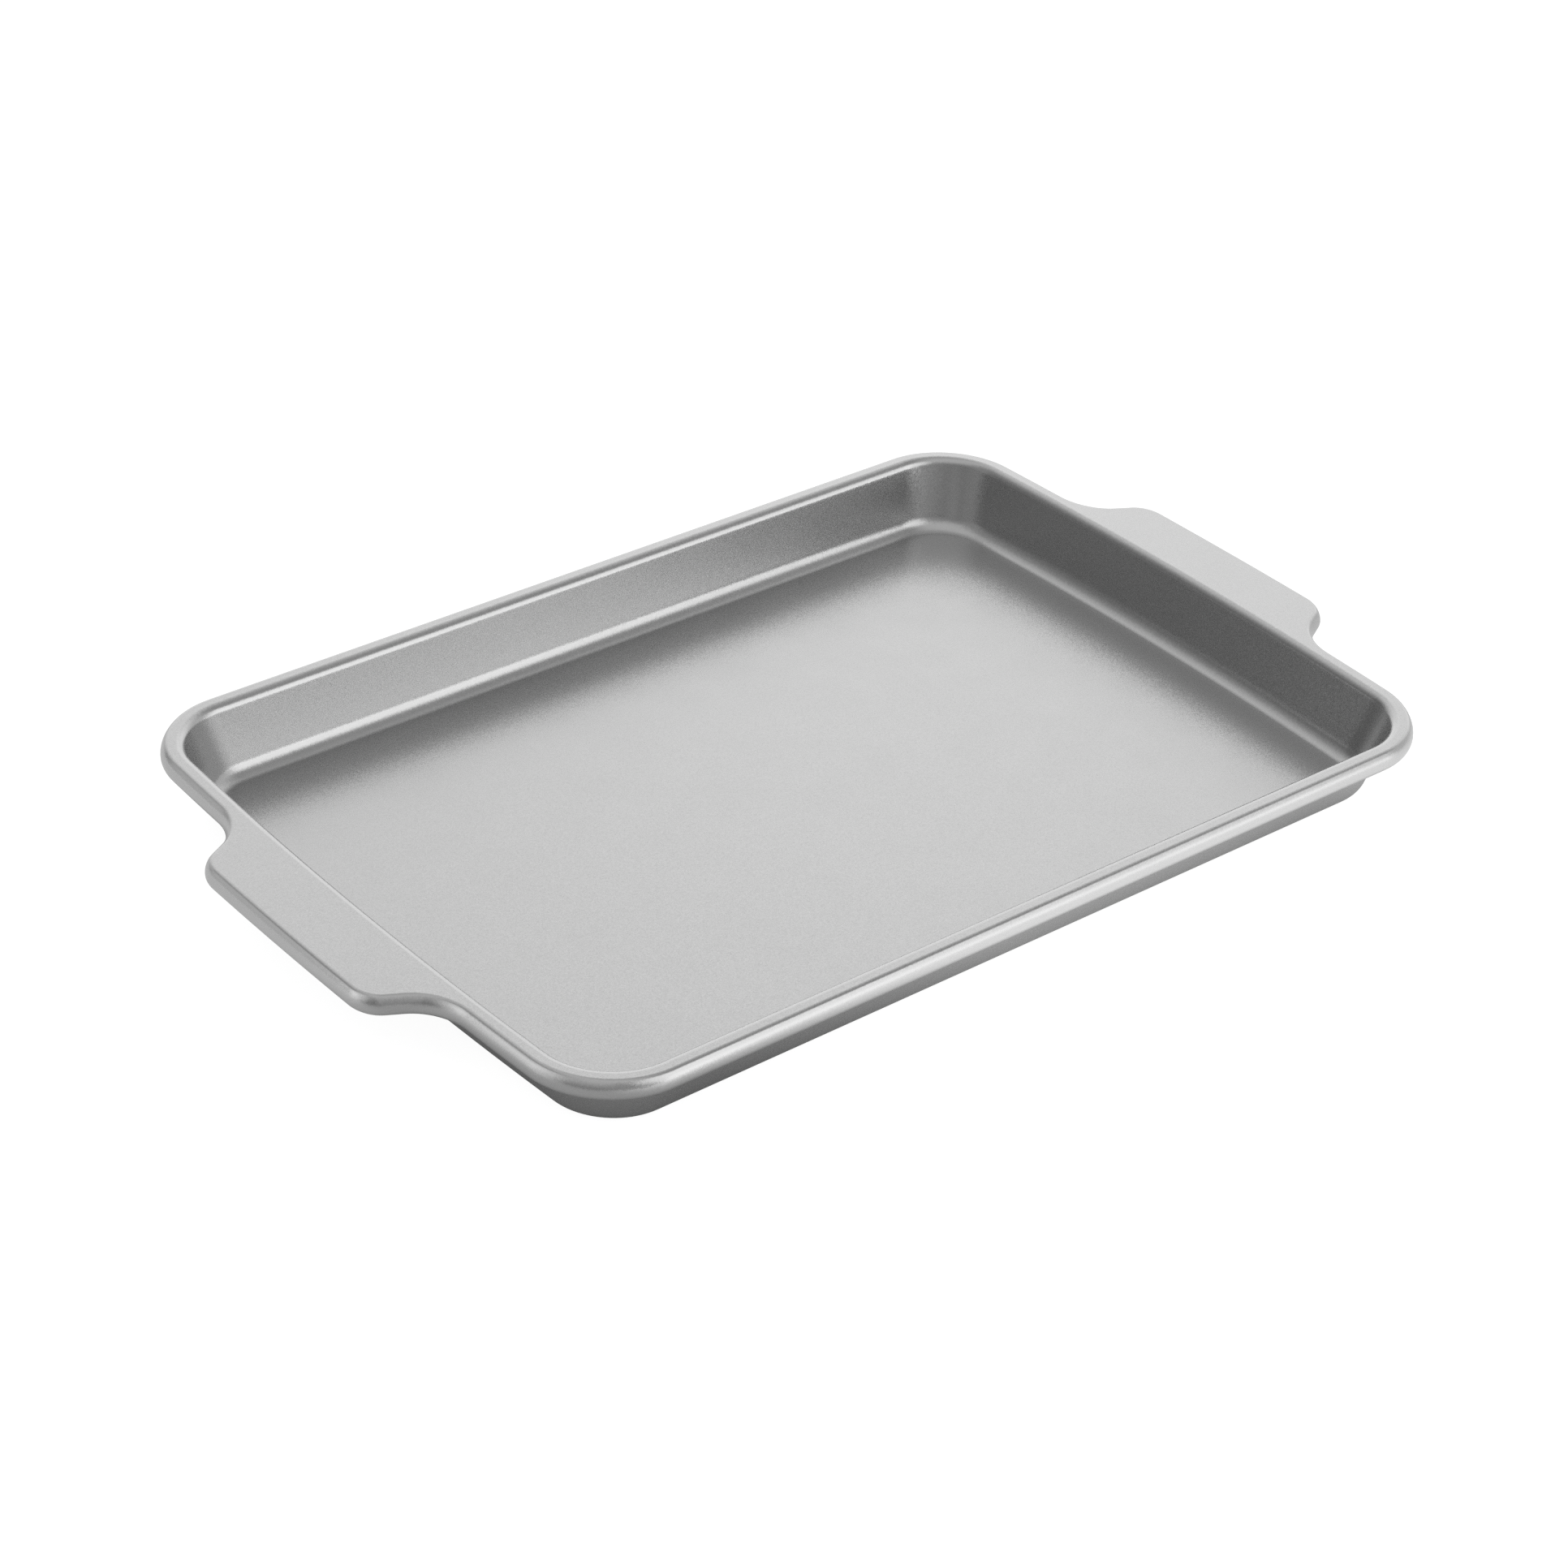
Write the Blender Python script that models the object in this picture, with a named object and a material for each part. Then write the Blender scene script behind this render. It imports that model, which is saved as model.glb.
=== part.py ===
"""A rimmed baking sheet: one drawn sheet of steel with two handles, its edge rolled round a steel wire.

Metres, +Z up. X runs along the long sides and through the handles, Y across.
The origin is on the underside of the floor, at the middle of the sheet.
"""

import math

import bmesh
import bpy
from mathutils import Vector

MM = 0.001

# The tray, measured on its inner face
MOUTH_LENGTH = 342.3 * MM  # at the top of the walls, at the middle of the bowed ends
MOUTH_WIDTH = 233.8 * MM  # at the top of the walls
CORNER_RADIUS = 21.4 * MM  # in plan, the same all the way down the wall
END_BOW = 4.3 * MM  # how far the middle of each short side stands out
BOW_FADE = 3  # power at which the bow fades from the short side towards the middle of the tray
OVERALL_HEIGHT = 25.4 * MM
SHEET_THICKNESS = 0.8 * MM
WALL_DRAFT = math.radians(13.5)
FLOOR_FILLET = 5.3 * MM
TOP_BEND = 3.2 * MM  # radius over which the wall turns out into the flange
FLANGE_FLAT = 0.5 * MM  # level part of the flange along the sides without a handle

# The handles
HANDLE_REACH = 19.8 * MM  # past the rim, at the middle of the short side
HANDLE_EDGE = 73.5 * MM  # straight outer edge between its corner arcs
HANDLE_EDGE_BOW = 0.6 * MM  # how far the middle of that edge stands out
HANDLE_CORNER = 12.1 * MM
HANDLE_HOLLOW = 18.4 * MM  # the arc that leads from the rim out to the handle
HANDLE_FLANK = math.radians(24.8)  # slope of the side of the handle, from the X axis
HANDLE_ARCS_LIMIT = 0.95  # the most of the handle's reach that its two arcs may take up

# The rolled edge and the wire inside it
WIRE_DIAMETER = 3.2 * MM
WIRE_CLEARANCE = 0.3 * MM
WIRE_END_GAP = 1.0 * MM
SHOULDER_EASE = 1.7 * MM  # how much rounder the edge turns over on top than under the wire
CURL_WRAP = math.radians(205)  # how far the edge is rolled round the wire, from its outermost line

# How finely the curves are divided
FILLET_STEPS = 5
BEND_STEPS = 4
SHOULDER_STEPS = 5
CURL_STEPS = 8
CORNER_STEPS = 8
HANDLE_EDGE_STEPS = 3
HANDLE_ARC_STEPS = 5
SHORT_SIDE_STEPS = 3
LONG_SIDE_STEPS = 3
WIRE_SIDES = 8
SMOOTH_LIMIT = math.radians(50)  # edges sharper than this stay sharp

# Places that follow from the sizes above
CURL_RADIUS = WIRE_DIAMETER / 2 + WIRE_CLEARANCE + SHEET_THICKNESS
SHOULDER_RADIUS = CURL_RADIUS + SHOULDER_EASE
BEND_REACH = TOP_BEND * math.cos(WALL_DRAFT)
RIM_REACH = BEND_REACH + FLANGE_FLAT + SHOULDER_RADIUS  # from the wall's top to the outermost line of the rim
MOUTH_HEIGHT = OVERALL_HEIGHT - TOP_BEND * (1 - math.sin(WALL_DRAFT))
WIRE_HEIGHT = OVERALL_HEIGHT - SHOULDER_RADIUS


def clear_scene():
    for obj in list(bpy.data.objects):
        bpy.data.objects.remove(obj, do_unlink=True)


def metal(name, colour, roughness, metallic):
    material = bpy.data.materials.new(name)
    material.use_nodes = True
    shader = material.node_tree.nodes["Principled BSDF"]
    shader.inputs["Base Color"].default_value = (*colour, 1.0)
    shader.inputs["Roughness"].default_value = roughness
    shader.inputs["Metallic"].default_value = metallic
    return material


def arc(centre, radius, start, stop, steps):
    """Points on a circle from one angle to another, both ends included."""
    angles = [start + (stop - start) * i / steps for i in range(steps + 1)]
    return [Vector((centre[0] + radius * math.cos(a), centre[1] + radius * math.sin(a))) for a in angles]


def segment(first, last, steps):
    """Points between two points, both ends left out."""
    return [first.lerp(last, i / steps) for i in range(1, steps)]


def handle_side(rim_x):
    """Half of a handle's outline, from the middle of its outer edge to where it meets the rim."""
    edge_x = rim_x + END_BOW + HANDLE_REACH - HANDLE_EDGE_BOW
    arcs_reach = (HANDLE_CORNER + HANDLE_HOLLOW) * (1 - math.sin(HANDLE_FLANK))
    fit = min(1.0, HANDLE_ARCS_LIMIT * (edge_x - rim_x) / arcs_reach)
    corner, hollow = HANDLE_CORNER * fit, HANDLE_HOLLOW * fit
    flank_normal = Vector((math.sin(HANDLE_FLANK), math.cos(HANDLE_FLANK)))
    turn = math.pi / 2 - HANDLE_FLANK
    corner_centre = Vector((edge_x - corner, HANDLE_EDGE / 2))
    flank_level = flank_normal.dot(corner_centre) + corner + hollow
    hollow_x = rim_x + hollow
    hollow_centre = Vector((hollow_x, (flank_level - flank_normal.x * hollow_x) / flank_normal.y))
    start = Vector((edge_x, 0.0))
    outer = arc(corner_centre, corner, 0.0, turn, HANDLE_ARC_STEPS)
    inner = arc(hollow_centre, hollow, math.pi + turn, math.pi, HANDLE_ARC_STEPS)
    return [start] + segment(start, outer[0], HANDLE_EDGE_STEPS) + outer + inner


def quarter_rim(half_length, half_width, radius):
    """The rim's outermost line from the middle of a handle's edge to the middle of a long side."""
    side = handle_side(half_length)
    corner = arc((half_length - radius, half_width - radius), radius, 0.0, math.pi / 2, CORNER_STEPS)
    side += segment(side[-1], corner[0], SHORT_SIDE_STEPS)
    long_side = segment(corner[-1], Vector((0.0, half_width)), LONG_SIDE_STEPS)
    return side, corner + long_side + [Vector((0.0, half_width))]


def quarter_tray(half_length, half_width, radius, side_shares):
    """The tray's outline, its short side divided in the same shares as the rim's."""
    straight = half_width - radius
    side = [Vector((half_length, share * straight)) for share in side_shares]
    corner = arc((half_length - radius, half_width - radius), radius, 0.0, math.pi / 2, CORNER_STEPS)
    long_side = segment(corner[-1], Vector((0.0, half_width)), LONG_SIDE_STEPS)
    return side + corner + long_side + [Vector((0.0, half_width))]


def whole_ring(quarter):
    """Four mirrored quarters as one closed ring, counter-clockwise."""
    right = [Vector((p.x, -p.y)) for p in reversed(quarter[1:])] + quarter
    left = [Vector((-p.x, p.y)) for p in reversed(right[1:-1])]
    return right + left


def bowed(points, half_length, half_width):
    """Moves the points so that the short sides stand out in the middle, and a handle's edge a little."""
    handle_length = END_BOW + HANDLE_REACH - HANDLE_EDGE_BOW
    handle_half_width = HANDLE_EDGE / 2 + HANDLE_CORNER
    moved = []
    for p in points:
        share = min(1.0, abs(p.x) / half_length) ** BOW_FADE
        beyond = min(1.0, max(0.0, (abs(p.x) - half_length) / handle_length))
        side_bow = END_BOW * (1 - (p.y / half_width) ** 2)
        edge_bow = HANDLE_EDGE_BOW * (1 - (p.y / handle_half_width) ** 2)
        bow = share * (side_bow * (1 - beyond) + edge_bow * beyond)
        moved.append(Vector((p.x + math.copysign(bow, p.x), p.y)))
    return moved


def tray_ring(outset, radius, side_shares):
    """A ring of the tray, a distance outside the line where the wall's inner face ends."""
    half_length = MOUTH_LENGTH / 2 - END_BOW + outset
    half_width = MOUTH_WIDTH / 2 + outset
    quarter = quarter_tray(half_length, half_width, radius, side_shares)
    return bowed(whole_ring(quarter), half_length, half_width)


def rim_ring():
    """The rim's outermost line, and how its short side is divided."""
    half_length = MOUTH_LENGTH / 2 - END_BOW + RIM_REACH
    half_width = MOUTH_WIDTH / 2 + RIM_REACH
    radius = CORNER_RADIUS + RIM_REACH
    side, rest = quarter_rim(half_length, half_width, radius)
    shares = [p.y / (half_width - radius) for p in side]
    return bowed(whole_ring(side + rest), half_length, half_width), shares


def inset(ring, distance):
    """The ring moved inwards by an equal distance everywhere."""
    moved = []
    for before, point, after in zip(ring[-1:] + ring[:-1], ring, ring[1:] + ring[:1]):
        arriving = (point - before).normalized()
        leaving = (after - point).normalized()
        inward = (Vector((-arriving.y, arriving.x)) + Vector((-leaving.y, leaving.x))).normalized()
        stretch = inward.dot(Vector((-leaving.y, leaving.x)))
        moved.append(point + inward * distance / stretch)
    return moved


def at_height(ring, height):
    return [Vector((p.x, p.y, height)) for p in ring]


def tray_rings(side_shares, thickness):
    """Rings from the floor's edge up to the flange, a thickness outside the tray's inner face."""
    slope = math.tan(WALL_DRAFT)
    upright = math.pi / 2 - WALL_DRAFT
    fillet_centre = SHEET_THICKNESS + FLOOR_FILLET
    fillet_top = fillet_centre - FLOOR_FILLET * math.sin(WALL_DRAFT)
    floor_edge = -FLOOR_FILLET * math.cos(WALL_DRAFT) - (MOUTH_HEIGHT - fillet_top) * slope
    floor_corner = CORNER_RADIUS - FLOOR_FILLET * math.cos(WALL_DRAFT)
    rings = []
    fillet = FLOOR_FILLET + thickness
    for i in range(FILLET_STEPS + 1):
        angle = upright * i / FILLET_STEPS
        out = fillet * math.sin(angle)
        ring = tray_ring(floor_edge + out, floor_corner + out, side_shares)
        rings.append(at_height(ring, fillet_centre - fillet * math.cos(angle)))
    bend = TOP_BEND - thickness
    for i in range(BEND_STEPS + 1):
        angle = upright * (1 - i / BEND_STEPS)
        out = BEND_REACH - bend * math.sin(angle)
        ring = tray_ring(out, CORNER_RADIUS + out, side_shares)
        rings.append(at_height(ring, OVERALL_HEIGHT - TOP_BEND + bend * math.cos(angle)))
    return rings


def edge_rings(rim, thickness):
    """Rings over the shoulder and round the wire, a thickness inside the rim's outer face."""
    rings = []
    shoulder = SHOULDER_RADIUS - thickness
    for i in range(SHOULDER_STEPS + 1):
        angle = math.pi / 2 * (1 - i / SHOULDER_STEPS)
        ring = inset(rim, SHOULDER_RADIUS - shoulder * math.cos(angle))
        rings.append(at_height(ring, WIRE_HEIGHT + shoulder * math.sin(angle)))
    curl = CURL_RADIUS - thickness
    for i in range(1, CURL_STEPS + 1):
        angle = CURL_WRAP * i / CURL_STEPS
        ring = inset(rim, CURL_RADIUS - curl * math.cos(angle))
        rings.append(at_height(ring, WIRE_HEIGHT - curl * math.sin(angle)))
    return rings


def closed_object(name, loops, material):
    """A smooth-shaded object skinned over closed loops of points, the first and the last loop filled."""
    mesh = bmesh.new()
    loops = [[mesh.verts.new(point) for point in loop] for loop in loops]
    for lower, upper in zip(loops[:-1], loops[1:]):
        for i in range(len(lower)):
            j = (i + 1) % len(lower)
            mesh.faces.new((lower[i], lower[j], upper[j], upper[i]))
    mesh.faces.new(loops[0])
    mesh.faces.new(loops[-1])
    bmesh.ops.recalc_face_normals(mesh, faces=mesh.faces)
    data = bpy.data.meshes.new(name)
    mesh.to_mesh(data)
    mesh.free()
    data.shade_smooth()
    data.set_sharp_from_angle(angle=SMOOTH_LIMIT)
    data.materials.append(material)
    obj = bpy.data.objects.new(name, data)
    bpy.context.collection.objects.link(obj)
    return obj


def make_pan_sheet():
    """Floor, walls, flange, handles and rolled edge, all one sheet: its upper face, then its under face."""
    rim, side_shares = rim_ring()
    upper_face = tray_rings(side_shares, 0.0) + edge_rings(rim, 0.0)
    under_face = tray_rings(side_shares, SHEET_THICKNESS) + edge_rings(rim, SHEET_THICKNESS)
    coat = metal("satin_coat", (0.60, 0.60, 0.60), 0.36, 0.9)
    return closed_object("pan_sheet", upper_face + under_face[::-1], coat)


def make_rim_wire():
    """One wire along the middle of the rolled edge, its ends butted at the middle of the back long side."""
    rim, _ = rim_ring()
    back = max(range(len(rim)), key=lambda i: rim[i].y - abs(rim[i].x))
    radius = WIRE_DIAMETER / 2
    lines = []
    for i in range(WIRE_SIDES):
        angle = 2 * math.pi * i / WIRE_SIDES
        ring = inset(rim, CURL_RADIUS - radius * math.cos(angle))
        ring = ring[back + 1 :] + ring[:back]
        first = Vector((-WIRE_END_GAP / 2, ring[0].y))
        last = Vector((WIRE_END_GAP / 2, ring[-1].y))
        lines.append(at_height([first] + ring + [last], WIRE_HEIGHT + radius * math.sin(angle)))
    steel = metal("bright_wire", (0.55, 0.56, 0.58), 0.3, 1.0)
    return closed_object("rim_wire", list(zip(*lines)), steel)


clear_scene()
make_pan_sheet()
make_rim_wire()
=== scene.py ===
import math

import bmesh
import bpy
from mathutils import Matrix, Vector


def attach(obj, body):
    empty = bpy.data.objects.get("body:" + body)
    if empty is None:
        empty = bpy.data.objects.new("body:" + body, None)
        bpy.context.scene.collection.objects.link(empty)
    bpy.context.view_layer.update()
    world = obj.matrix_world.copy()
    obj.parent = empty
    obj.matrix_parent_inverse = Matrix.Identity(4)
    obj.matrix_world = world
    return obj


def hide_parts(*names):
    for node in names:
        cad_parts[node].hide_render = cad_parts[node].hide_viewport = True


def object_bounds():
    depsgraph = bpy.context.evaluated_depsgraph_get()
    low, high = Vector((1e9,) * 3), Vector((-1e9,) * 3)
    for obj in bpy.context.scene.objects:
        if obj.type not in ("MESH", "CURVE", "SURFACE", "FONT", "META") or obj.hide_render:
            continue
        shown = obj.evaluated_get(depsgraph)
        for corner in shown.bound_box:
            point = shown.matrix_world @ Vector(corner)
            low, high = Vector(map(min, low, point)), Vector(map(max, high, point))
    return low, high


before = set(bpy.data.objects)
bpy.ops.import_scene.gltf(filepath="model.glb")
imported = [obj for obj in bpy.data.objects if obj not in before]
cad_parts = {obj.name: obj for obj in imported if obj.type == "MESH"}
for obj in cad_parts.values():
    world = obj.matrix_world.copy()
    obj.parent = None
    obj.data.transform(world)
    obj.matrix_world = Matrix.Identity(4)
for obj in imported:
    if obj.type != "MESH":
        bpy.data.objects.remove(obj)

MM = 0.001
cad_low, cad_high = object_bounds()

# Pan sheet: one blank of sheet steel, pressed into a shallow tray whose flange widens into a handle at each
# short end. Its edge is rolled down round a wire, all the way round, and it has one satin metallic coat.
SHEET = 0.8 * MM
TOP = cad_high.z
RIM_WIDTH = cad_high.y  # half the pan's width

WIRE = 3.2 * MM
WIRE_PLAY = 0.3 * MM
ROLL_RADIUS = WIRE / 2 + WIRE_PLAY + SHEET
ROLL_TAIL = 0.9 * MM  # the straight end of the roll, which points up behind the wire
SHOULDER_RADIUS = 1.7 * MM
SHOULDER_SLOPE = math.radians(50)  # where the tight shoulder turns into the long round side of the bead
SIDE_RADIUS = 5.9 * MM
SHOULDER_REACH = SHOULDER_RADIUS * math.sin(SHOULDER_SLOPE) + SIDE_RADIUS * (1 - math.sin(SHOULDER_SLOPE))
ROLL_HEIGHT = TOP - SHOULDER_RADIUS * (1 - math.cos(SHOULDER_SLOPE)) - SIDE_RADIUS * math.cos(SHOULDER_SLOPE)

WALL_LEAN = math.radians(13.5)
CORNER = 21.4 * MM  # the wall's corner in plan
TOP_BEND = 3.2 * MM
FLANGE_FLAT = 2.2 * MM
FLOOR_FILLET = 6.4 * MM
FLOOR_CREASE = math.radians(10)  # the fillet meets the floor at this angle, in a fine line
CREASE_RADIUS = 0.3 * MM
BEND_REACH = TOP_BEND * math.cos(WALL_LEAN)
RIM_REACH = BEND_REACH + FLANGE_FLAT + SHOULDER_REACH

HANDLE_REACH = 19.8 * MM
HANDLE_EDGE = 73.5 * MM
HANDLE_BOW = 0.6 * MM
HANDLE_CORNER = 12.1 * MM
HANDLE_HOLLOW = 18.4 * MM
HANDLE_FLANK = math.radians(24.8)
END_BOW = 4.3 * MM  # how far the middle of a short side stands out
BOW_FADE = 3  # power at which the bow fades towards the middle of the pan
RIM_LENGTH = cad_high.x - HANDLE_REACH - END_BOW  # half the rim's length at its corners

FLANGE_STRIP = 0.1 * MM  # narrow flat strips beside the bends keep the flange, the wall and the floor
WALL_STRIP = 0.6 * MM  # shaded as flat

CORNER_CUTS = 20
HANDLE_CORNER_CUTS = 12
HANDLE_HOLLOW_CUTS = 14
HANDLE_EDGE_CUTS = 9
RIM_SIDE_CUTS = 5
LONG_SIDE_CUTS = 7
ROLL_CUTS = 18
BEND_CUTS = 9
FILLET_CUTS = 12
CREASE_CUTS = 2

QUARTER_TURN = math.pi / 2
HAIR = MM / 100  # two places this close are taken for the same one
WELD = MM / 1000
SMOOTH_LIMIT = math.radians(50)


def pick(kind, wanted):
    """In edit mode, selects the vertices, edges or faces that the test wants, and nothing else."""
    bpy.ops.mesh.select_mode(type=kind)
    bpy.ops.mesh.select_all(action="DESELECT")
    mesh = bmesh.from_edit_mesh(bpy.context.object.data)
    elements = {"VERT": mesh.verts, "EDGE": mesh.edges, "FACE": mesh.faces}[kind]
    for element in elements:
        element.select = wanted(element)
    mesh.select_flush_mode()
    bmesh.update_edit_mesh(bpy.context.object.data)


def middle(edge):
    return (edge.verts[0].co + edge.verts[1].co) / 2


def is_broad(face):
    """The one face inside an outline, and not one of the four-sided faces round it."""
    return len(face.verts) > 4


def flat_blank(name, half_length, half_width, height):
    """A flat rectangle, left in edit mode with all of it selected."""
    bpy.ops.object.select_all(action="DESELECT")
    bpy.ops.mesh.primitive_plane_add(size=1, location=(0, 0, 0))
    blank = bpy.context.object
    blank.name = name
    bpy.ops.object.mode_set(mode="EDIT")
    bpy.ops.transform.resize(value=(2 * half_length, 2 * half_width, 1))
    bpy.ops.transform.translate(value=(0, 0, height))
    return blank


def round_off(radius, turn, cuts, wanted):
    """Rounds corners of the outline. A vertex that turns less than a quarter needs a fuller profile."""
    half = turn / 2
    pick("VERT", wanted)
    profile = (1 - 0.5 / (1 + math.cos(half))) ** 2
    bpy.ops.mesh.bevel(
        offset=radius * math.tan(half), segments=cuts, profile=profile, affect="VERTICES", clamp_overlap=False
    )


def cut_up(cuts, wanted):
    """Divides the edges of the outline that the test wants."""
    pick("EDGE", lambda edge: wanted(middle(edge)))
    bpy.ops.mesh.subdivide(number_cuts=cuts)


def drop_faces():
    """Leaves the edges alone, because a face would be cut up along with its edges."""
    bpy.ops.mesh.select_all(action="SELECT")
    bpy.ops.mesh.delete(type="ONLY_FACE")


def fill_outline():
    """One flat face inside the outline, turned up."""
    bpy.ops.mesh.select_all(action="SELECT")
    bpy.ops.mesh.edge_face_add()
    pick("FACE", lambda face: face.normal.z < 0)
    bpy.ops.mesh.flip_normals()
    bpy.ops.mesh.select_all(action="SELECT")


def draw_out(half_length, half_width):
    """Bows the short ends outwards, most in the middle, and the edge of a handle a little."""
    handle_length = END_BOW + HANDLE_REACH - HANDLE_BOW
    handle_width = HANDLE_EDGE / 2 + HANDLE_CORNER
    mesh = bmesh.from_edit_mesh(bpy.context.object.data)
    for vertex in mesh.verts:
        x, y = abs(vertex.co.x), vertex.co.y
        share = min(1, x / half_length) ** BOW_FADE
        beyond = min(1, max(0, (x - half_length) / handle_length))
        end_bow = END_BOW * (1 - (y / half_width) ** 2)
        edge_bow = HANDLE_BOW * (1 - (y / handle_width) ** 2)
        vertex.co.x += math.copysign(share * (end_bow * (1 - beyond) + edge_bow * beyond), vertex.co.x)
    bmesh.update_edit_mesh(bpy.context.object.data)


def rim_outline(name):
    """The outermost line of the rim and its two handles, as one flat face at the height of the wire."""
    edge_x = RIM_LENGTH + END_BOW + HANDLE_REACH - HANDLE_BOW
    flank = Vector((math.sin(HANDLE_FLANK), math.cos(HANDLE_FLANK)))
    level = flank.x * (edge_x - HANDLE_CORNER) + flank.y * HANDLE_EDGE / 2 + HANDLE_CORNER
    root = (level - flank.x * RIM_LENGTH) / flank.y
    tip = (level - flank.x * edge_x) / flank.y

    def at_handle_tip(vertex):
        return abs(vertex.co.x) > edge_x - MM

    def at_handle_root(vertex):
        return abs(abs(vertex.co.y) - root) < MM and abs(vertex.co.x) < edge_x - MM

    def on_handle_edge(place):
        return abs(place.x) > edge_x - HAIR and abs(place.y) < MM

    def on_short_side(place):
        return abs(abs(place.x) - RIM_LENGTH) < HAIR and root < place.y * half < RIM_WIDTH - CORNER

    blank = flat_blank(name, RIM_LENGTH, RIM_WIDTH, ROLL_HEIGHT)
    for side in (-root, root):
        bpy.ops.mesh.select_all(action="SELECT")
        bpy.ops.mesh.bisect(plane_co=(0, side, 0), plane_no=(0, 1, 0))
    for end in (-1, 1):
        pick("EDGE", lambda edge: middle(edge).x * end > RIM_LENGTH - MM and abs(middle(edge).y) < root / 2)
        outwards = (end * (edge_x - RIM_LENGTH), 0, 0)
        bpy.ops.mesh.extrude_region_move(TRANSFORM_OT_translate={"value": outwards})
        bpy.ops.transform.resize(value=(1, tip / root, 1))
    bpy.ops.mesh.select_all(action="SELECT")
    bpy.ops.mesh.dissolve_limited(angle_limit=math.radians(1))
    flank_turn = QUARTER_TURN - HANDLE_FLANK
    round_off(HANDLE_CORNER, flank_turn, HANDLE_CORNER_CUTS, at_handle_tip)
    round_off(HANDLE_HOLLOW, flank_turn, HANDLE_HOLLOW_CUTS, at_handle_root)
    round_off(CORNER + RIM_REACH, QUARTER_TURN, CORNER_CUTS, lambda v: abs(v.co.y) > RIM_WIDTH - MM)
    drop_faces()
    cut_up(HANDLE_EDGE_CUTS, on_handle_edge)
    for half in (-1, 1):
        cut_up(RIM_SIDE_CUTS, on_short_side)
    cut_up(LONG_SIDE_CUTS, lambda place: abs(place.x) < MM)
    draw_out(RIM_LENGTH, RIM_WIDTH)
    fill_outline()
    return blank


def follow(radius, start, stop, cuts):
    """Insets the selected face along an arc whose slope runs from start to stop. Up is away from the face."""
    chord = 2 * radius * math.sin(abs(stop - start) / cuts / 2)
    for step in range(cuts):
        slope = start + (stop - start) * (step + 0.5) / cuts
        bpy.ops.mesh.inset(thickness=chord * math.cos(slope), depth=chord * math.sin(slope))


# The rim's outline is one face. A copy of it is turned down and inset along the roll under the wire, and the
# face itself is inset along the side and the shoulder of the bead, up to the flange.
rim = rim_outline("rim")
bpy.ops.mesh.duplicate()
bpy.ops.mesh.flip_normals()
follow(ROLL_RADIUS, QUARTER_TURN, -QUARTER_TURN, ROLL_CUTS)
bpy.ops.mesh.inset(thickness=0, depth=-ROLL_TAIL)
bpy.ops.mesh.delete(type="ONLY_FACE")
pick("FACE", is_broad)
follow(SIDE_RADIUS, QUARTER_TURN, SHOULDER_SLOPE, BEND_CUTS)
follow(SHOULDER_RADIUS, SHOULDER_SLOPE, 0, BEND_CUTS)
bpy.ops.mesh.inset(thickness=FLANGE_STRIP)
bpy.ops.mesh.delete(type="ONLY_FACE")
bpy.ops.mesh.select_all(action="SELECT")
bpy.ops.mesh.remove_doubles(threshold=WELD)
bpy.ops.object.mode_set(mode="OBJECT")


def tray_outline(name):
    """The line where the flange starts to bend down into the tray, as one flat face at that height."""
    half_length = RIM_LENGTH - SHOULDER_REACH - FLANGE_FLAT + FLANGE_STRIP
    half_width = RIM_WIDTH - SHOULDER_REACH - FLANGE_FLAT + FLANGE_STRIP
    side_cuts = HANDLE_EDGE_CUTS + 2 * (HANDLE_CORNER_CUTS + HANDLE_HOLLOW_CUTS + RIM_SIDE_CUTS + 2)
    blank = flat_blank(name, half_length, half_width, TOP)
    round_off(CORNER + BEND_REACH + FLANGE_STRIP, QUARTER_TURN, CORNER_CUTS, lambda v: True)
    drop_faces()
    cut_up(side_cuts, lambda place: abs(place.y) < MM)
    cut_up(LONG_SIDE_CUTS, lambda place: abs(place.x) < MM)
    draw_out(half_length, half_width)
    fill_outline()
    return blank


wall_slope = WALL_LEAN - QUARTER_TURN
bend_drop = TOP_BEND * (1 - math.sin(WALL_LEAN))
fillet_drop = FLOOR_FILLET * (math.cos(FLOOR_CREASE) - math.sin(WALL_LEAN))
crease_drop = CREASE_RADIUS * (1 - math.cos(FLOOR_CREASE))
wall_drop = TOP - bend_drop - (fillet_drop + crease_drop) - SHEET


def lean_in(drop, fallen):
    """Carries the selected face down the wall. Its corners keep their radius, so its sides move in."""
    bpy.ops.mesh.extrude_region_move(TRANSFORM_OT_translate={"value": (0, 0, -drop)})
    level = TOP - bend_drop - fallen - drop / 2
    moved = drop * math.tan(WALL_LEAN)
    for axis, half_size in enumerate((RIM_LENGTH, RIM_WIDTH)):
        corner_centre = half_size - RIM_REACH - CORNER - fallen * math.tan(WALL_LEAN) + HAIR
        side_scale = [1, 1, 1]
        side_scale[axis] = 1 - moved / corner_centre
        pick("VERT", lambda v: v.co.z < level and abs(v.co[axis]) < corner_centre)
        bpy.ops.transform.resize(value=side_scale, center_override=(0, 0, 0))
        for end in (-1, 1):
            shift = [0, 0, 0]
            shift[axis] = -end * moved
            pick("VERT", lambda v: v.co.z < level and v.co[axis] * end > corner_centre)
            bpy.ops.transform.translate(value=shift)
    pick("FACE", is_broad)


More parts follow.
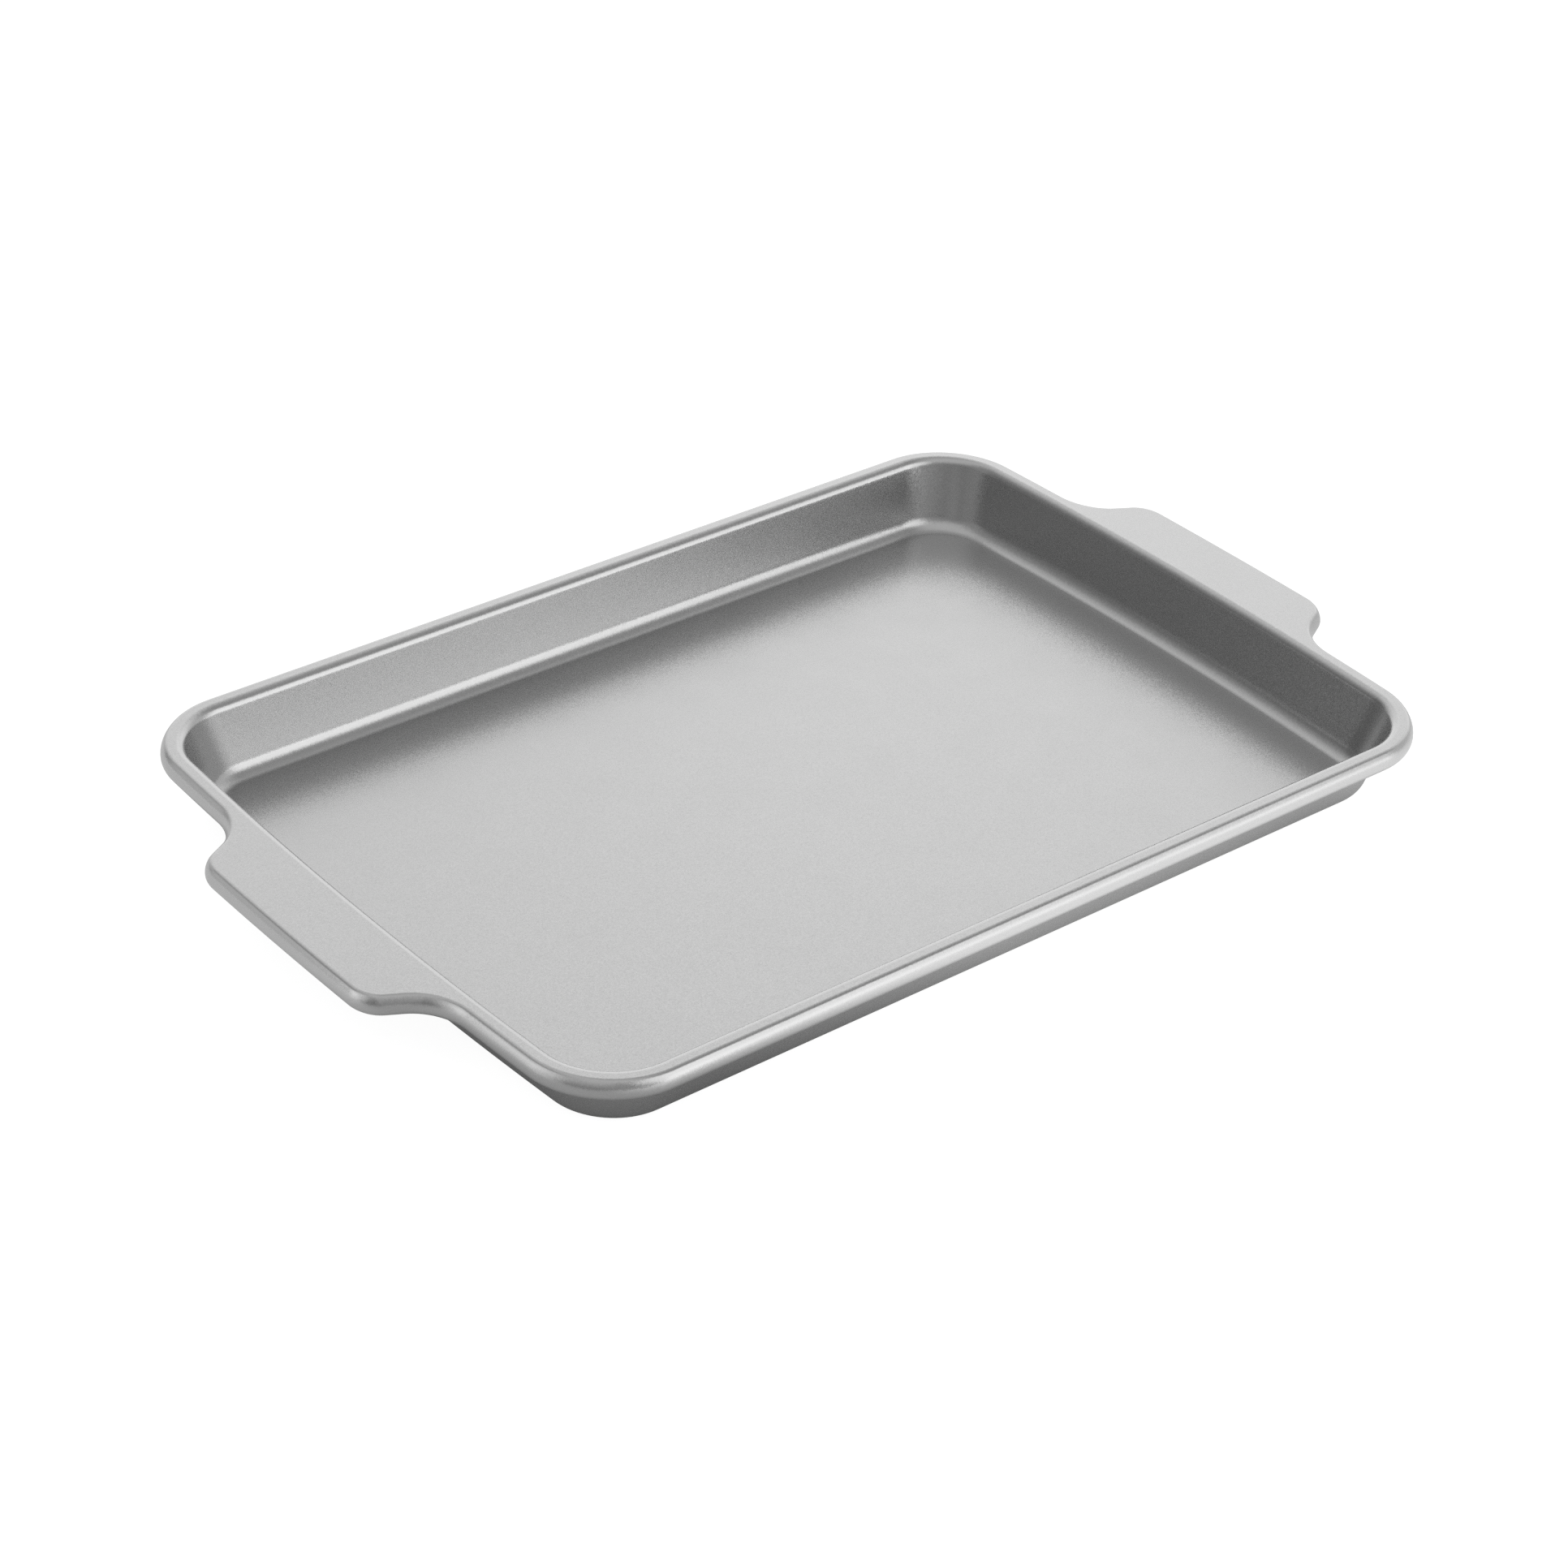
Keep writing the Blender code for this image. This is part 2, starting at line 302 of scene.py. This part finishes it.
tray = tray_outline("tray")
bpy.ops.mesh.inset(thickness=FLANGE_STRIP)
follow(TOP_BEND, 0, wall_slope, BEND_CUTS)
lean_in(WALL_STRIP, 0)
lean_in(wall_drop - 2 * WALL_STRIP, WALL_STRIP)
lean_in(WALL_STRIP, wall_drop - WALL_STRIP)
follow(FLOOR_FILLET, wall_slope, -FLOOR_CREASE, FILLET_CUTS)
follow(CREASE_RADIUS, -FLOOR_CREASE, 0, CREASE_CUTS)
bpy.ops.mesh.inset(thickness=WALL_STRIP)
bpy.ops.object.mode_set(mode="OBJECT")

# Rim and tray become one mesh, the flange is the bridge between them, and the whole gets its thickness.
rim.select_set(True)
bpy.ops.object.join()
pan = bpy.context.object
pan.name = "baking_sheet"
bpy.ops.object.mode_set(mode="EDIT")
pick("EDGE", lambda edge: edge.is_boundary and middle(edge).z > TOP - HAIR)
bpy.ops.mesh.bridge_edge_loops()
pick("FACE", lambda face: face.normal.z < 0 and face.calc_center_median().z > TOP - HAIR)
bpy.ops.mesh.flip_normals()
bpy.ops.object.mode_set(mode="OBJECT")
sheet_wall = pan.modifiers.new("sheet", "SOLIDIFY")
sheet_wall.thickness = SHEET
sheet_wall.offset = -1
sheet_wall.use_even_offset = True
bpy.ops.object.modifier_apply(modifier=sheet_wall.name)
bpy.ops.object.shade_smooth_by_angle(angle=SMOOTH_LIMIT)


class Shade:
    """An output in a node tree. Sums on it add Math nodes, and node() adds any other kind."""

    def __init__(self, tree, socket=None):
        self.tree = tree
        self.socket = socket

    def node(self, kind, settings=None, inputs=None, output=0):
        """Adds a node, sets it up and gives its sockets values or links. Returns one of its outputs."""
        made = self.tree.nodes.new("ShaderNode" + kind)
        for name, value in (settings or {}).items():
            setattr(made, name, value)
        for name, value in (inputs or {}).items():
            if isinstance(value, Shade):
                self.tree.links.new(value.socket, made.inputs[name])
            else:
                made.inputs[name].default_value = value
        return Shade(self.tree, made.outputs[output] if made.outputs else None)

    def maths(self, operation, first, second):
        return self.node("Math", {"operation": operation}, {0: first, 1: second})

    def __add__(self, other):
        return self.maths("ADD", self, other)

    def __radd__(self, other):
        return self.maths("ADD", other, self)

    def __sub__(self, other):
        return self.maths("SUBTRACT", self, other)

    def __rsub__(self, other):
        return self.maths("SUBTRACT", other, self)

    def __mul__(self, other):
        return self.maths("MULTIPLY", self, other)

    def __rmul__(self, other):
        return self.maths("MULTIPLY", other, self)


def new_material(name):
    """An empty node material, and a Shade to start its nodes from."""
    material = bpy.data.materials.new(name)
    material.use_nodes = True
    material.node_tree.nodes.clear()
    return material, Shade(material.node_tree)


def grey(level):
    return (level, level, level, 1)


FLAKES_PER_METRE = 2400
FINE_FLAKES_PER_METRE = 5200
FLAKE_TILT = 0.04  # a flake's lean, as a share of the length of the surface's normal
FLAKE_DARK = 0.535
FLAKE_LIGHT = 0.565
FILM_RIPPLES_PER_METRE = 900
FILM_RIPPLE = 0.01 * MM
FILM_STRENGTH = 0.1
POOLS_PER_METRE = 45
COAT_ROUGHNESS = 0.22
POOLING_ROUGHNESS = 0.06
FLAKE_ROUGHNESS = 0.04


def satin_coat():
    """Silver-grey coat: fine metal flakes lie almost level in a satin film that pools a little unevenly."""
    material, start = new_material("satin_coat")
    place = start.node("TexCoord", output="Object")

    flakes = start.node("TexVoronoi", inputs={"Vector": place, "Scale": FLAKES_PER_METRE}, output="Color")
    fine_flakes = start.node(
        "TexVoronoi", inputs={"Vector": place, "Scale": FINE_FLAKES_PER_METRE}, output="Color"
    )
    flake_shine = start.node("SeparateColor", inputs={"Color": flakes}, output="Red")
    # A cell's colour runs from 0 to 1, so with a half taken away the flakes lean every way.
    tilt = start.node("VectorMath", {"operation": "SUBTRACT"}, {0: flakes, 1: (0.5, 0.5, 0.5)})
    fine_tilt = start.node("VectorMath", {"operation": "SUBTRACT"}, {0: fine_flakes, 1: (0.5, 0.5, 0.5)})
    both_tilts = start.node("VectorMath", {"operation": "ADD"}, {0: tilt, 1: fine_tilt})
    leaning = start.node("VectorMath", {"operation": "SCALE"}, {0: both_tilts, "Scale": FLAKE_TILT})
    level = start.node("NewGeometry", output="Normal")
    tilted = start.node("VectorMath", {"operation": "ADD"}, {0: level, 1: leaning})
    flake_normal = start.node("VectorMath", {"operation": "NORMALIZE"}, {0: tilted})

    film = start.node("TexNoise", inputs={"Vector": place, "Scale": FILM_RIPPLES_PER_METRE, "Detail": 2})
    surface = start.node(
        "Bump",
        inputs={"Strength": FILM_STRENGTH, "Distance": FILM_RIPPLE, "Height": film, "Normal": flake_normal},
    )
    pooling = start.node(
        "TexNoise", inputs={"Vector": place, "Scale": POOLS_PER_METRE, "Detail": 3, "Roughness": 0.6}
    )
    roughness = COAT_ROUGHNESS + POOLING_ROUGHNESS * pooling + FLAKE_ROUGHNESS * flake_shine
    colour = start.node(
        "Mix",
        {"data_type": "RGBA"},
        {"Factor": flake_shine, "A": grey(FLAKE_DARK), "B": grey(FLAKE_LIGHT)},
        output="Result",
    )
    shader = start.node(
        "BsdfPrincipled",
        inputs={"Base Color": colour, "Metallic": 1.0, "Roughness": roughness, "Normal": surface},
    )
    start.node("OutputMaterial", inputs={"Surface": shader})
    return material


pan.data.materials.clear()
pan.data.materials.append(satin_coat())
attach(pan, "root")
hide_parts("pan_sheet")

# Rim wire: plain drawn steel, bent to the outline of the rim and both handles, its ends butted at the back.
# The rolled edge of the sheet holds it, and it can only be glimpsed from below, past the end of the roll.
WIRE_GAP = 1.0 * MM
WIRE_ROUNDNESS = 3
WIRE_GRAINS_PER_METRE = 600
STEEL_DARK = (0.50, 0.51, 0.53, 1)
STEEL_LIGHT = (0.60, 0.61, 0.63, 1)
STEEL_ROUGHNESS = 0.22
SKIN_ROUGHNESS = 0.16

# The outline is inset to the middle of the roll, opened by the gap at the back, and given the wire's radius.
wire = rim_outline("rim_wire_round")
bpy.ops.mesh.inset(thickness=ROLL_RADIUS)
pick("EDGE", lambda edge: edge.is_boundary)
bpy.ops.mesh.delete(type="VERT")
drop_faces()
pick("VERT", lambda v: abs(v.co.x) < WIRE_GAP and v.co.y > 0)
bpy.ops.mesh.bevel(offset=WIRE_GAP / 2, segments=1, affect="VERTICES")
pick("EDGE", lambda edge: abs(middle(edge).x) < WIRE_GAP and middle(edge).y > 0)
bpy.ops.mesh.delete(type="EDGE")
bpy.ops.object.mode_set(mode="OBJECT")
bpy.ops.object.convert(target="CURVE")
wire.data.bevel_depth = WIRE / 2
wire.data.bevel_resolution = WIRE_ROUNDNESS
wire.data.use_fill_caps = True
bpy.ops.object.convert(target="MESH")
bpy.ops.object.mode_set(mode="EDIT")
bpy.ops.mesh.select_all(action="SELECT")
bpy.ops.mesh.remove_doubles(threshold=WELD)
bpy.ops.object.mode_set(mode="OBJECT")
bpy.ops.object.shade_smooth_by_angle(angle=SMOOTH_LIMIT)


def drawn_steel():
    """Bare steel wire, bright, with a slightly uneven skin from the drawing die."""
    material, start = new_material("bright_wire")
    place = start.node("TexCoord", output="Object")
    skin = start.node("TexNoise", inputs={"Vector": place, "Scale": WIRE_GRAINS_PER_METRE, "Detail": 3})
    tone = start.node(
        "Mix", {"data_type": "RGBA"}, {"Factor": skin, "A": STEEL_DARK, "B": STEEL_LIGHT}, output="Result"
    )
    roughness = STEEL_ROUGHNESS + SKIN_ROUGHNESS * skin
    shader = start.node(
        "BsdfPrincipled", inputs={"Base Color": tone, "Metallic": 1.0, "Roughness": roughness}
    )
    start.node("OutputMaterial", inputs={"Surface": shader})
    return material


wire.data.materials.append(drawn_steel())
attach(wire, "root")
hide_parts("rim_wire")

# Floor: a plain white studio table that glows evenly, like a light table, so that it shows pure white round
# the pan, all but a faint contact shadow. The coat reflects a glow with painted light and shade in it:
# brighter towards the lamp, darker towards the camera, and darkened near the pan by a painted contact shadow.
TABLE_SIZE = 8
TABLE_WHITE = 0.92  # with the light that falls on it, this reads as white
TABLE_PAINT = 0.3
# The glow that metal reflects: painted light towards the lamp, painted shade towards the camera and a painted
# contact shadow near the pan.
REFLECTED_GLOW = 0.55
LAMP_SIDE_GLOW = 0.54
CAMERA_SIDE_SHADE = 0.26
CONTACT_SHADOW = 26 * MM
SHADOW_RAYS = 8

bpy.ops.object.select_all(action="DESELECT")
bpy.ops.mesh.primitive_plane_add(size=TABLE_SIZE, location=(0, 0, 0))
table = bpy.context.object
table.name = "studio_floor"


def compass(turn, rise):
    """A direction: turn is clockwise from the back, seen from above, and rise is above the horizon."""
    turn, rise = math.radians(turn), math.radians(rise)
    return Vector((math.sin(turn) * math.cos(rise), math.cos(turn) * math.cos(rise), math.sin(rise)))


def soft_patch(start, sight, direction, full, edge):
    """1 where sight is within full degrees of a direction, and 0 beyond edge degrees."""
    nearness = start.node(
        "VectorMath", {"operation": "DOT_PRODUCT"}, {0: sight, 1: direction}, output="Value"
    )
    reach = {"From Min": math.cos(math.radians(edge)), "From Max": math.cos(math.radians(full))}
    return start.node("MapRange", {"interpolation_type": "SMOOTHSTEP"}, {"Value": nearness, **reach})


def seen_directly(start):
    """1 for rays from the camera, also through glass, and 0 for light and reflections."""
    to_camera = start.node("LightPath", output="Is Camera Ray")
    in_glass = start.node("LightPath", output="Is Transmission Ray")
    return start.maths("MAXIMUM", to_camera, in_glass)


def table_paint():
    """White paint, and over it the glow: one even strength for the camera, another for metal that reflects
    it, with painted light, painted shade and a painted contact shadow in it.
    """
    material, start = new_material("studio_white")
    place = start.node("TexCoord", output="Object")
    side = start.node("VectorMath", {"operation": "NORMALIZE"}, {0: place})
    # Painted light and shade in the reflected glow: brighter on the lamp's side of the pan, darker on the
    # camera's side.
    lamp_side = soft_patch(start, side, compass(turn=166, rise=0), full=5, edge=66)
    camera_side = soft_patch(start, side, compass(turn=-132, rise=0), full=10, edge=50)
    painted_reflected_glow = REFLECTED_GLOW + LAMP_SIDE_GLOW * lamp_side - CAMERA_SIDE_SHADE * camera_side
    # Ambient occlusion darkens the reflected glow close to the pan: a painted contact shadow.
    painted_shadow_factor = start.node(
        "AmbientOcclusion", {"samples": SHADOW_RAYS}, {"Distance": CONTACT_SHADOW}, output="AO"
    )
    in_metal = start.node("LightPath", output="Is Glossy Ray")
    strength = TABLE_WHITE * seen_directly(start) + painted_reflected_glow * painted_shadow_factor * in_metal
    glow = start.node("Emission", inputs={"Color": grey(1), "Strength": strength})
    paint = start.node("BsdfDiffuse", inputs={"Color": grey(TABLE_PAINT)})
    both = start.node("AddShader", inputs={0: paint, 1: glow})
    start.node("OutputMaterial", inputs={"Surface": both})
    return material


table.data.materials.append(table_paint())

# Light: a dim soft room with a broad bright panel behind the pan to the right, and a soft box at the front
# right. It is built of soft round patches, brighter or darker than the room. The camera sees it white.
ROOM_GLOW = 0.345

studio = bpy.data.worlds.new("studio")
studio.use_nodes = True
studio.node_tree.nodes.clear()
bpy.context.scene.world = studio
dome = Shade(studio.node_tree)
sight = dome.node("TexCoord", output="Generated")


def patch(turn, rise, full, edge, glow):
    """A patch of the room: its whole glow within full degrees of a direction, and none past edge degrees."""
    return glow * soft_patch(dome, sight, compass(turn, rise), full, edge)


# The pan's floor and flange reflect the back panel, and its heart makes the floor lightest in the middle.
back_panel = patch(turn=38, rise=13, full=10, edge=60, glow=0.73)
panel_heart = patch(turn=43, rise=29, full=1, edge=12, glow=0.23)
panel_top = patch(turn=42, rise=45, full=5, edge=18, glow=-0.11)
panel_foot = patch(turn=34, rise=2, full=3, edge=20, glow=0.3)

# The back wall, its fillet and the bead of the front rim reflect the soft box.
soft_box = patch(turn=163, rise=30, full=7, edge=29, glow=0.95)
box_foot = patch(turn=146, rise=-5, full=2, edge=29, glow=1.45)
box_top = patch(turn=140, rise=29, full=2, edge=17, glow=0.5)
ceiling_gap = patch(turn=122, rise=52, full=5, edge=25, glow=-0.12)

# The rest of the room, for the beads and bends that face other ways.
right_wall = patch(turn=97, rise=18, full=15, edge=46, glow=0.32)
camera_side = patch(turn=-118, rise=-8, full=14, edge=42, glow=-0.12)
overhead = patch(turn=-139, rise=74, full=12, edge=46, glow=0.32)
left_shade = patch(turn=-38, rise=8, full=6, edge=30, glow=-0.19)
shoulder_light = patch(turn=-12, rise=58, full=5, edge=24, glow=0.22)

room = ROOM_GLOW + back_panel + panel_heart + panel_top + panel_foot
room = room + soft_box + box_foot + box_top + ceiling_gap
room = room + right_wall + camera_side + overhead + left_shade + shoulder_light
seen = seen_directly(dome)
strength = room * (1 - seen) + seen
white_room = dome.node("Background", inputs={"Color": grey(1), "Strength": strength})
dome.node("OutputWorld", inputs={"Surface": white_room})

# Fill cards: three small soft cards close to the pan, one beside the left handle and two beside the near
# corner. They lift the outer side of the rim there, which a far room can't do without lighting the walls.
GRID_HALF = math.radians(38)  # a honeycomb grid keeps each card's light within this of its aim


def soft_card(name, place, aim, width, height, glow):
    """A card that faces the aim and, seen from there, shines as brightly as a dome of strength glow."""
    light = bpy.data.lights.new(name, "AREA")
    light.shape = "RECTANGLE"
    light.size = width
    light.size_y = height
    light.spread = 2 * GRID_HALF
    light.energy = glow * math.pi * width * height * (1 - GRID_HALF / math.tan(GRID_HALF))
    card = bpy.data.objects.new(name, light)
    bpy.context.collection.objects.link(card)
    backwards = (place - aim).normalized()
    card.matrix_world = Matrix.Translation(place) @ backwards.to_track_quat("Z", "Y").to_matrix().to_4x4()
    card.visible_camera = False


soft_card(
    "handle_card",
    place=Vector((-0.31, 0.11, 0.065)),
    aim=Vector((-0.19, -0.01, 0.015)),
    width=0.27,
    height=0.1,
    glow=0.6,
)
soft_card(
    "corner_card",
    place=Vector((-0.32, -0.05, 0.08)),
    aim=Vector((-0.175, -0.11, 0.015)),
    width=0.19,
    height=0.14,
    glow=0.8,
)
soft_card(
    "near_card",
    place=Vector((-0.262, -0.178, 0.087)),
    aim=Vector((-0.165, -0.118, 0.02)),
    width=0.12,
    height=0.1,
    glow=0.24,
)

# Camera: the photograph's own angle, distance and lens, read from the pan's outline in it.
CAMERA_TURN = math.radians(-40.37)
CAMERA_RISE = math.radians(32.58)
CAMERA_ROLL = math.radians(2.68)
CAMERA_DISTANCE = 1.2896
CAMERA_SHIFT = (-3.24 * MM, 2.47 * MM)  # how far the view's middle lies right of and above the origin
PHOTO_SIZE = 1932
FOCAL_PIXELS = 4855.5

lens_data = bpy.data.cameras.new("camera")
lens_data.lens = FOCAL_PIXELS / PHOTO_SIZE * lens_data.sensor_width
camera = bpy.data.objects.new("camera", lens_data)
bpy.context.collection.objects.link(camera)
back = Vector(
    (
        math.sin(CAMERA_TURN) * math.cos(CAMERA_RISE),
        -math.cos(CAMERA_TURN) * math.cos(CAMERA_RISE),
        math.sin(CAMERA_RISE),
    )
)
level_right = Vector((math.cos(CAMERA_TURN), math.sin(CAMERA_TURN), 0))
level_up = back.cross(level_right)
right = math.cos(CAMERA_ROLL) * level_right + math.sin(CAMERA_ROLL) * level_up
up = back.cross(right)
facing = Matrix((right, up, back)).transposed().to_4x4()
standpoint = CAMERA_DISTANCE * back + CAMERA_SHIFT[0] * right + CAMERA_SHIFT[1] * up
camera.matrix_world = Matrix.Translation(standpoint) @ facing
bpy.context.scene.camera = camera
bpy.context.scene.view_settings.view_transform = "Standard"
